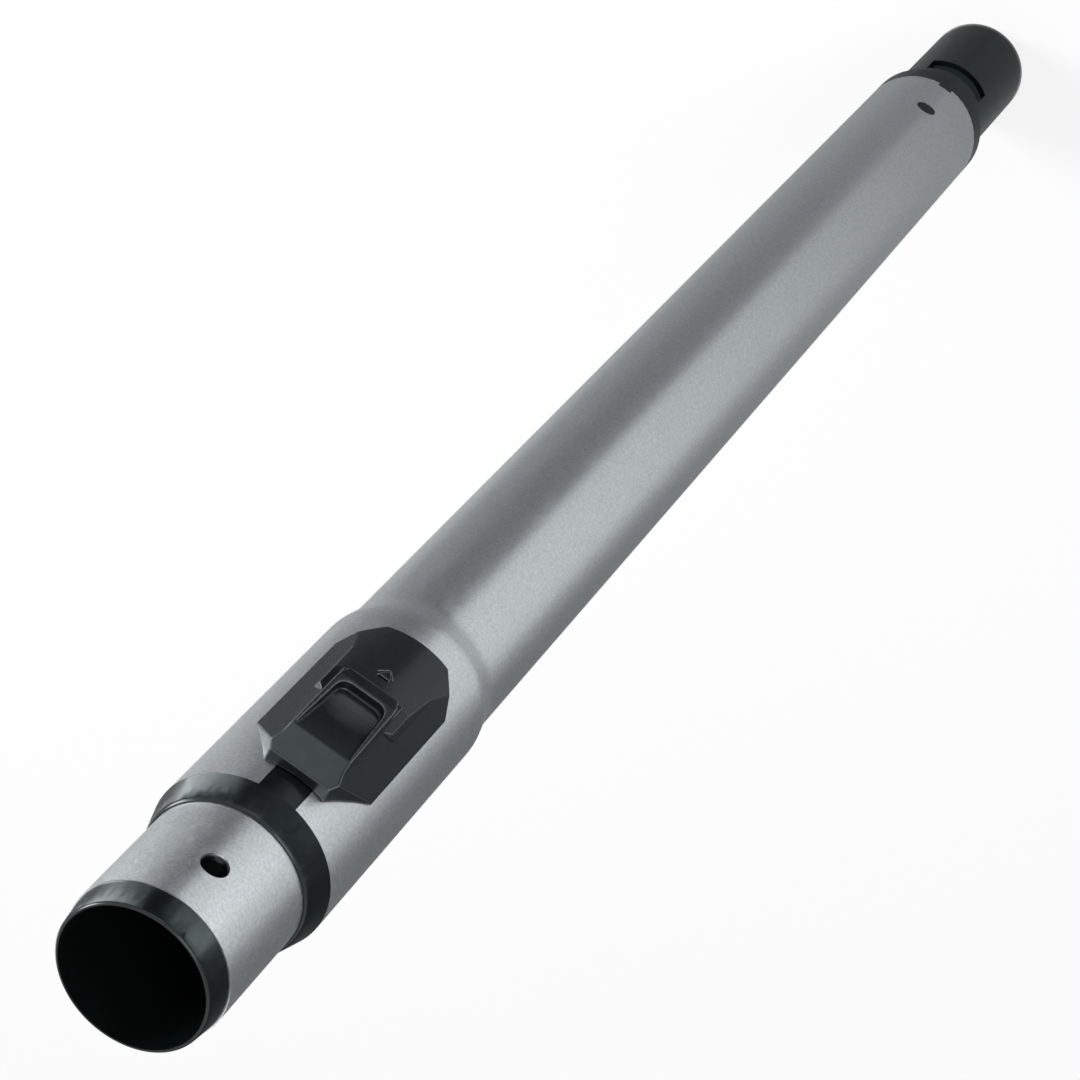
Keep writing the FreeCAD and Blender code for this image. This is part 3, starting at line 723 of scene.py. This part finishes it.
def point_values(points, name):
    """One row of three numbers for each point of a mesh."""
    rows = np.empty(len(points) * 3, dtype=np.float32)
    points.foreach_get(name, rows)
    return rows.reshape(-1, 3)


def smooth_skin(rounds):
    """A few rounds of smoothing, and the places of the skin's points after them."""
    worn = slide_skin.modifiers.new("worn_edges", "SMOOTH")
    worn.factor = SMOOTH_FACTOR
    worn.iterations = rounds
    worn.vertex_group = wear_group.name
    return point_values(apply_modifiers(slide_skin).vertices, "co")


settled = smooth_skin(SETTLE_ROUNDS)
rounded = smooth_skin(WEAR_ROUNDS)
print("farthest move:", round(float(np.abs(settled - rounded).max()) / MM, 3), "mm")

# %% [markdown]
# ## Where the slide gets its painted highlights
# Smoothing takes the most off the edges, and rounded edges catch light, so the distance that a point moved
# inwards sets its painted highlight. The arrow's points moved by a share only, and that share is divided
# out. A round patch of painted sheen in the middle of the pad is added. The larger of the two goes into
# the attribute that the slide's plastic reads.

# %% Measure the painted highlights
# Painted highlight where smoothing took the most off an edge, and painted sheen on the pad.
HIGHLIGHT_FROM, HIGHLIGHT_TO = 0.016 * MM, 0.065 * MM
PAD_SHEEN_DROP = 23.5 * MM
PAD_SHEEN_HALF_WIDTH, PAD_SHEEN_HALF_HEIGHT = 7.2 * MM, 5.6 * MM
PAD_SHEEN = 0.22

outward = point_values(slide_skin.data.vertices, "normal")
moved_inwards = ((settled - rounded) * outward).sum(axis=1)
moved_inwards[mark] /= MARK_WEAR
edge_highlight = np.clip((moved_inwards - HIGHLIGHT_FROM) / (HIGHLIGHT_TO - HIGHLIGHT_FROM), 0, 1)
aside = rounded[:, 0] / PAD_SHEEN_HALF_WIDTH
along = (slide_high.z - PAD_SHEEN_DROP - rounded[:, 2]) / PAD_SHEEN_HALF_HEIGHT
in_front = rounded[:, 1] < slide_low.y + FRONT_DEPTH
pad_sheen = PAD_SHEEN * np.clip(1 - np.hypot(aside, along) ** 2, 0, 1) * in_front
painted_highlight = slide_skin.data.attributes.new(PAINTED_HIGHLIGHT, "FLOAT", "POINT")
painted_highlight.data.foreach_set("value", np.maximum(edge_highlight, pad_sheen).astype(np.float32))
print("rubbed points:", int((edge_highlight > 0).sum()), "on edges,", int((pad_sheen > 0).sum()), "on the pad")

# %% [markdown]
# ## A lighter skin for the slide
# An even skin spends most of its faces on flat parts. The Decimate modifier takes them away there first,
# and it carries the painted highlights over to the points that stay. The finished skin takes the solid's
# place on the sliding body.

# %% Thin the skin
SKIN_KEPT = 0.35

fewer = slide_skin.modifiers.new("fewer_faces", "DECIMATE")
fewer.ratio = SKIN_KEPT
apply_modifiers(slide_skin).shade_smooth()
dress(slide_skin, "thumb_slide", "slide")
print("slide skin:", len(slide_skin.data.polygons), "faces")

# %% [markdown]
# ## A tree that winds a spring
# A small compression spring brings the slide back. A spring is a wire that follows a helix,
# and it could be drawn point by point, but then each change of size would mean drawing it
# again. A tree of geometry nodes follows the rule instead: a spiral for the path, a circle
# for the wire, and the two joined as a tube. Its sizes are named inputs.

# %% Build the spring's tree
SPRING_STEPS = 20
WIRE_SIDES = 10
SPRING_INPUTS = {
    "Turns": "NodeSocketFloat",
    "Coil radius": "NodeSocketFloat",
    "Wire radius": "NodeSocketFloat",
    "Height": "NodeSocketFloat",
    "Foot": "NodeSocketVector",
}


def spring_tree(material):
    """A node tree that winds a wire into an upright spring."""
    tree = bpy.data.node_groups.new("wound_wire", "GeometryNodeTree")
    for name, kind in SPRING_INPUTS.items():
        tree.interface.new_socket(name, in_out="INPUT", socket_type=kind)
    tree.interface.new_socket("Geometry", in_out="OUTPUT", socket_type="NodeSocketGeometry")
    sizes = tree.nodes.new("NodeGroupInput").outputs
    path = tree.nodes.new("GeometryNodeCurveSpiral")
    path.inputs["Resolution"].default_value = SPRING_STEPS
    tree.links.new(sizes["Turns"], path.inputs["Rotations"])
    tree.links.new(sizes["Coil radius"], path.inputs["Start Radius"])
    tree.links.new(sizes["Coil radius"], path.inputs["End Radius"])
    tree.links.new(sizes["Height"], path.inputs["Height"])
    wire = tree.nodes.new("GeometryNodeCurvePrimitiveCircle")
    wire.inputs["Resolution"].default_value = WIRE_SIDES
    tree.links.new(sizes["Wire radius"], wire.inputs["Radius"])
    tube = tree.nodes.new("GeometryNodeCurveToMesh")
    tube.inputs["Fill Caps"].default_value = True
    tree.links.new(path.outputs["Curve"], tube.inputs["Curve"])
    tree.links.new(wire.outputs["Curve"], tube.inputs["Profile Curve"])
    put = tree.nodes.new("GeometryNodeTransform")
    tree.links.new(tube.outputs["Mesh"], put.inputs["Geometry"])
    tree.links.new(sizes["Foot"], put.inputs["Translation"])
    real = tree.nodes.new("GeometryNodeRealizeInstances")
    tree.links.new(put.outputs["Geometry"], real.inputs["Geometry"])
    coat = tree.nodes.new("GeometryNodeSetMaterial")
    coat.inputs["Material"].default_value = material
    tree.links.new(real.outputs["Geometry"], coat.inputs["Geometry"])
    result = tree.nodes.new("NodeGroupOutput")
    tree.links.new(coat.outputs["Geometry"], result.inputs["Geometry"])
    return tree


spring_winder = spring_tree(finishes["bare_steel"])
print("spring tree:", len(spring_winder.nodes), "nodes")

# %% [markdown]
# ## The return spring
# The spring takes its size and place from the plain solid that it replaces. A modifier's
# inputs are set by identifiers rather than names, so a helper looks those up in the tree.
# The wound wire becomes a plain mesh.

# %% Wind the spring
SPRING_TURNS = 7.0
SPRING_WIRE = 0.25 * MM


def set_inputs(modifier, values):
    """Sets a modifier's inputs by the identifiers that the tree's interface gives."""
    for item in modifier.node_group.interface.items_tree:
        if item.in_out == "INPUT" and item.name in values:
            modifier[item.identifier] = values[item.name]


low, high = (Vector(corner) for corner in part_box("return_spring"))
middle = (low + high) / 2
coil = mesh_object("wound_spring", [], [])
winder = coil.modifiers.new("wind", "NODES")
winder.node_group = spring_winder
set_inputs(winder, {
    "Turns": SPRING_TURNS,
    "Coil radius": (high.x - low.x) / 2 - SPRING_WIRE,
    "Wire radius": SPRING_WIRE,
    "Height": high.z - low.z - 2 * SPRING_WIRE,
    "Foot": (middle.x, middle.y, low.z + SPRING_WIRE),
})
apply_modifiers(coil).shade_smooth()
dress(coil, "return_spring", "outer")
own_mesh(coil)
print("spring:", len(coil.data.polygons), "faces")
